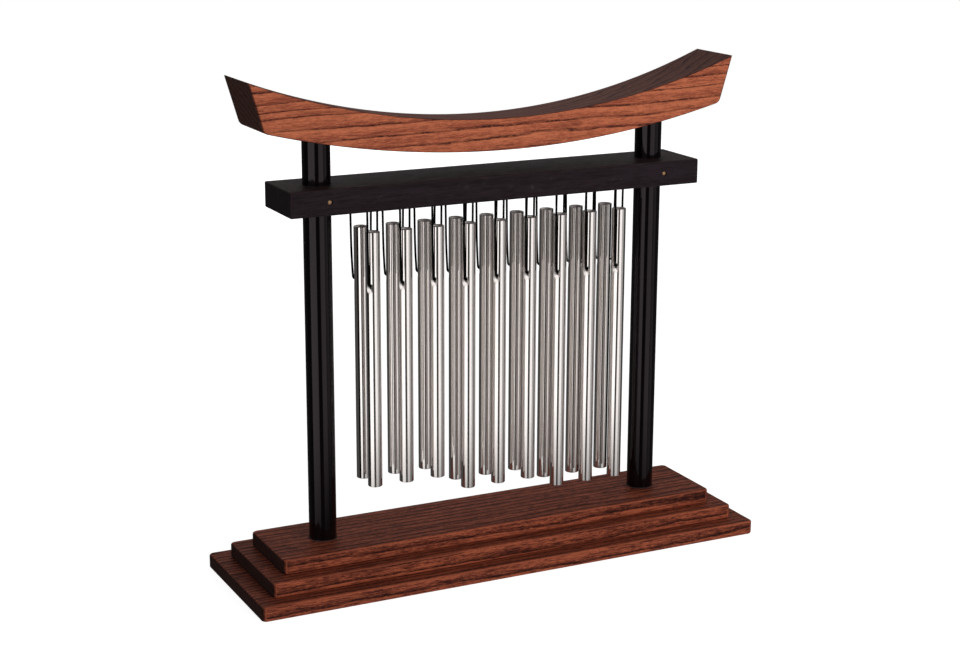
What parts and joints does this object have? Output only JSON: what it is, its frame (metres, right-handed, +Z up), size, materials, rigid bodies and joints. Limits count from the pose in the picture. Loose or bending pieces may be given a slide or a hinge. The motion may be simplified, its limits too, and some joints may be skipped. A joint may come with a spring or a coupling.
{
  "type": "table chime",
  "caption": "Free-standing table chime: rows of cord-hung metal tubes under a crossbar, in a wooden frame with a curved top beam.",
  "frame": {"origin": "middle of the base's underside, on the table", "axes": "+Z up, +X along the frame to the right, -Y towards the front"},
  "size_m": [0.3048, 0.0888, 0.2784],
  "materials": {
    "base_wood": "red-brown stained, satin, open straight grain",
    "beam_wood": "red-brown stained, satin, dark open grain lines",
    "black_wood": "black stained, satin, faint grain",
    "black_lacquer": "black gloss lacquer on turned wood",
    "tube_metal": "polished",
    "cord": "black twisted cord",
    "brass_pin": "dull brass nail head",
    "screw_steel": "plain countersunk wood screw"
  },
  "bodies": {
    "frame": {"base_board_lower": "base_wood", "base_board_middle": "base_wood", "base_board_upper": "base_wood", "post_left": "black_lacquer", "post_right": "black_lacquer", "post_screw_left": "screw_steel", "post_screw_right": "screw_steel", "crossbar": "black_wood", "crossbar_pin_left": "brass_pin", "crossbar_pin_right": "brass_pin", "top_beam": "beam_wood"},
    "hanger_front_1": {"cord_front_1": "cord"},
    "chime_front_1": {"chime_tube_front_1": "tube_metal"},
    "hanger_front_2": {"cord_front_2": "cord"},
    "chime_front_2": {"chime_tube_front_2": "tube_metal"},
    "hanger_front_3": {"cord_front_3": "cord"},
    "chime_front_3": {"chime_tube_front_3": "tube_metal"},
    "hanger_front_4": {"cord_front_4": "cord"},
    "chime_front_4": {"chime_tube_front_4": "tube_metal"},
    "hanger_front_5": {"cord_front_5": "cord"},
    "chime_front_5": {"chime_tube_front_5": "tube_metal"},
    "hanger_front_6": {"cord_front_6": "cord"},
    "chime_front_6": {"chime_tube_front_6": "tube_metal"},
    "hanger_front_7": {"cord_front_7": "cord"},
    "chime_front_7": {"chime_tube_front_7": "tube_metal"},
    "hanger_front_8": {"cord_front_8": "cord"},
    "chime_front_8": {"chime_tube_front_8": "tube_metal"},
    "hanger_front_9": {"cord_front_9": "cord"},
    "chime_front_9": {"chime_tube_front_9": "tube_metal"},
    "hanger_back_1": {"cord_back_1": "cord"},
    "chime_back_1": {"chime_tube_back_1": "tube_metal"},
    "hanger_back_2": {"cord_back_2": "cord"},
    "chime_back_2": {"chime_tube_back_2": "tube_metal"},
    "hanger_back_3": {"cord_back_3": "cord"},
    "chime_back_3": {"chime_tube_back_3": "tube_metal"},
    "hanger_back_4": {"cord_back_4": "cord"},
    "chime_back_4": {"chime_tube_back_4": "tube_metal"},
    "hanger_back_5": {"cord_back_5": "cord"},
    "chime_back_5": {"chime_tube_back_5": "tube_metal"},
    "hanger_back_6": {"cord_back_6": "cord"},
    "chime_back_6": {"chime_tube_back_6": "tube_metal"},
    "hanger_back_7": {"cord_back_7": "cord"},
    "chime_back_7": {"chime_tube_back_7": "tube_metal"},
    "hanger_back_8": {"cord_back_8": "cord"},
    "chime_back_8": {"chime_tube_back_8": "tube_metal"},
    "hanger_back_9": {"cord_back_9": "cord"},
    "chime_back_9": {"chime_tube_back_9": "tube_metal"}
  },
  "joints": [
    {"name": "swing_front_1", "type": "hinge", "parent": "frame", "child": "hanger_front_1", "pos_m": [-0.07259, -0.008, 0.20685], "axis": [-0.766, -0.6428, 0], "range_deg": [-5, 40]},
    {"name": "nod_front_1", "type": "hinge", "parent": "hanger_front_1", "child": "chime_front_1", "pos_m": [-0.07259, -0.008, 0.16551], "axis": [-0.766, -0.6428, 0], "range_deg": [-7, 25]},
    {"name": "swing_front_2", "type": "hinge", "parent": "frame", "child": "hanger_front_2", "pos_m": [-0.05376, -0.008, 0.20685], "axis": [-0.766, -0.6428, 0], "range_deg": [-5, 40]},
    {"name": "nod_front_2", "type": "hinge", "parent": "hanger_front_2", "child": "chime_front_2", "pos_m": [-0.05376, -0.008, 0.16551], "axis": [-0.766, -0.6428, 0], "range_deg": [-7, 25]},
    {"name": "swing_front_3", "type": "hinge", "parent": "frame", "child": "hanger_front_3", "pos_m": [-0.03493, -0.008, 0.20685], "axis": [-0.766, -0.6428, 0], "range_deg": [-5, 40]},
    {"name": "nod_front_3", "type": "hinge", "parent": "hanger_front_3", "child": "chime_front_3", "pos_m": [-0.03493, -0.008, 0.16551], "axis": [-0.766, -0.6428, 0], "range_deg": [-7, 25]},
    {"name": "swing_front_4", "type": "hinge", "parent": "frame", "child": "hanger_front_4", "pos_m": [-0.0161, -0.008, 0.20685], "axis": [-0.766, -0.6428, 0], "range_deg": [-5, 40]},
    {"name": "nod_front_4", "type": "hinge", "parent": "hanger_front_4", "child": "chime_front_4", "pos_m": [-0.0161, -0.008, 0.16364], "axis": [-0.766, -0.6428, 0], "range_deg": [-7, 25]},
    {"name": "swing_front_5", "type": "hinge", "parent": "frame", "child": "hanger_front_5", "pos_m": [0.00273, -0.008, 0.20685], "axis": [-0.766, -0.6428, 0], "range_deg": [-5, 40]},
    {"name": "nod_front_5", "type": "hinge", "parent": "hanger_front_5", "child": "chime_front_5", "pos_m": [0.00273, -0.008, 0.16364], "axis": [-0.766, -0.6428, 0], "range_deg": [-7, 25]},
    {"name": "swing_front_6", "type": "hinge", "parent": "frame", "child": "hanger_front_6", "pos_m": [0.02156, -0.008, 0.20685], "axis": [-0.766, -0.6428, 0], "range_deg": [-5, 40]},
    {"name": "nod_front_6", "type": "hinge", "parent": "hanger_front_6", "child": "chime_front_6", "pos_m": [0.02156, -0.008, 0.16364], "axis": [-0.766, -0.6428, 0], "range_deg": [-7, 25]},
    {"name": "swing_front_7", "type": "hinge", "parent": "frame", "child": "hanger_front_7", "pos_m": [0.04039, -0.008, 0.20685], "axis": [-0.766, -0.6428, 0], "range_deg": [-5, 40]},
    {"name": "nod_front_7", "type": "hinge", "parent": "hanger_front_7", "child": "chime_front_7", "pos_m": [0.04039, -0.008, 0.16219], "axis": [-0.766, -0.6428, 0], "range_deg": [-7, 25]},
    {"name": "swing_front_8", "type": "hinge", "parent": "frame", "child": "hanger_front_8", "pos_m": [0.05922, -0.008, 0.20685], "axis": [-0.766, -0.6428, 0], "range_deg": [-5, 40]},
    {"name": "nod_front_8", "type": "hinge", "parent": "hanger_front_8", "child": "chime_front_8", "pos_m": [0.05922, -0.008, 0.16219], "axis": [-0.766, -0.6428, 0], "range_deg": [-7, 25]},
    {"name": "swing_front_9", "type": "hinge", "parent": "frame", "child": "hanger_front_9", "pos_m": [0.07805, -0.008, 0.20685], "axis": [-0.766, -0.6428, 0], "range_deg": [-5, 40]},
    {"name": "nod_front_9", "type": "hinge", "parent": "hanger_front_9", "child": "chime_front_9", "pos_m": [0.07805, -0.008, 0.16219], "axis": [-0.766, -0.6428, 0], "range_deg": [-7, 25]},
    {"name": "swing_back_1", "type": "hinge", "parent": "frame", "child": "hanger_back_1", "pos_m": [-0.07259, 0.008, 0.20685], "axis": [-0.766, 0.6428, 0], "range_deg": [-40, 5]},
    {"name": "nod_back_1", "type": "hinge", "parent": "hanger_back_1", "child": "chime_back_1", "pos_m": [-0.07259, 0.008, 0.16551], "axis": [-0.766, 0.6428, 0], "range_deg": [-25, 7]},
    {"name": "swing_back_2", "type": "hinge", "parent": "frame", "child": "hanger_back_2", "pos_m": [-0.05376, 0.008, 0.20685], "axis": [-0.766, 0.6428, 0], "range_deg": [-40, 5]},
    {"name": "nod_back_2", "type": "hinge", "parent": "hanger_back_2", "child": "chime_back_2", "pos_m": [-0.05376, 0.008, 0.16551], "axis": [-0.766, 0.6428, 0], "range_deg": [-25, 7]},
    {"name": "swing_back_3", "type": "hinge", "parent": "frame", "child": "hanger_back_3", "pos_m": [-0.03493, 0.008, 0.20685], "axis": [-0.766, 0.6428, 0], "range_deg": [-40, 5]},
    {"name": "nod_back_3", "type": "hinge", "parent": "hanger_back_3", "child": "chime_back_3", "pos_m": [-0.03493, 0.008, 0.16551], "axis": [-0.766, 0.6428, 0], "range_deg": [-25, 7]},
    {"name": "swing_back_4", "type": "hinge", "parent": "frame", "child": "hanger_back_4", "pos_m": [-0.0161, 0.008, 0.20685], "axis": [-0.766, 0.6428, 0], "range_deg": [-40, 5]},
    {"name": "nod_back_4", "type": "hinge", "parent": "hanger_back_4", "child": "chime_back_4", "pos_m": [-0.0161, 0.008, 0.16364], "axis": [-0.766, 0.6428, 0], "range_deg": [-25, 7]},
    {"name": "swing_back_5", "type": "hinge", "parent": "frame", "child": "hanger_back_5", "pos_m": [0.00273, 0.008, 0.20685], "axis": [-0.766, 0.6428, 0], "range_deg": [-40, 5]},
    {"name": "nod_back_5", "type": "hinge", "parent": "hanger_back_5", "child": "chime_back_5", "pos_m": [0.00273, 0.008, 0.16364], "axis": [-0.766, 0.6428, 0], "range_deg": [-25, 7]},
    {"name": "swing_back_6", "type": "hinge", "parent": "frame", "child": "hanger_back_6", "pos_m": [0.02156, 0.008, 0.20685], "axis": [-0.766, 0.6428, 0], "range_deg": [-40, 5]},
    {"name": "nod_back_6", "type": "hinge", "parent": "hanger_back_6", "child": "chime_back_6", "pos_m": [0.02156, 0.008, 0.16364], "axis": [-0.766, 0.6428, 0], "range_deg": [-25, 7]},
    {"name": "swing_back_7", "type": "hinge", "parent": "frame", "child": "hanger_back_7", "pos_m": [0.04039, 0.008, 0.20685], "axis": [-0.766, 0.6428, 0], "range_deg": [-40, 5]},
    {"name": "nod_back_7", "type": "hinge", "parent": "hanger_back_7", "child": "chime_back_7", "pos_m": [0.04039, 0.008, 0.16219], "axis": [-0.766, 0.6428, 0], "range_deg": [-25, 7]},
    {"name": "swing_back_8", "type": "hinge", "parent": "frame", "child": "hanger_back_8", "pos_m": [0.05922, 0.008, 0.20685], "axis": [-0.766, 0.6428, 0], "range_deg": [-40, 5]},
    {"name": "nod_back_8", "type": "hinge", "parent": "hanger_back_8", "child": "chime_back_8", "pos_m": [0.05922, 0.008, 0.16219], "axis": [-0.766, 0.6428, 0], "range_deg": [-25, 7]},
    {"name": "swing_back_9", "type": "hinge", "parent": "frame", "child": "hanger_back_9", "pos_m": [0.07805, 0.008, 0.20685], "axis": [-0.766, 0.6428, 0], "range_deg": [-40, 5]},
    {"name": "nod_back_9", "type": "hinge", "parent": "hanger_back_9", "child": "chime_back_9", "pos_m": [0.07805, 0.008, 0.16219], "axis": [-0.766, 0.6428, 0], "range_deg": [-25, 7]}
  ]
}
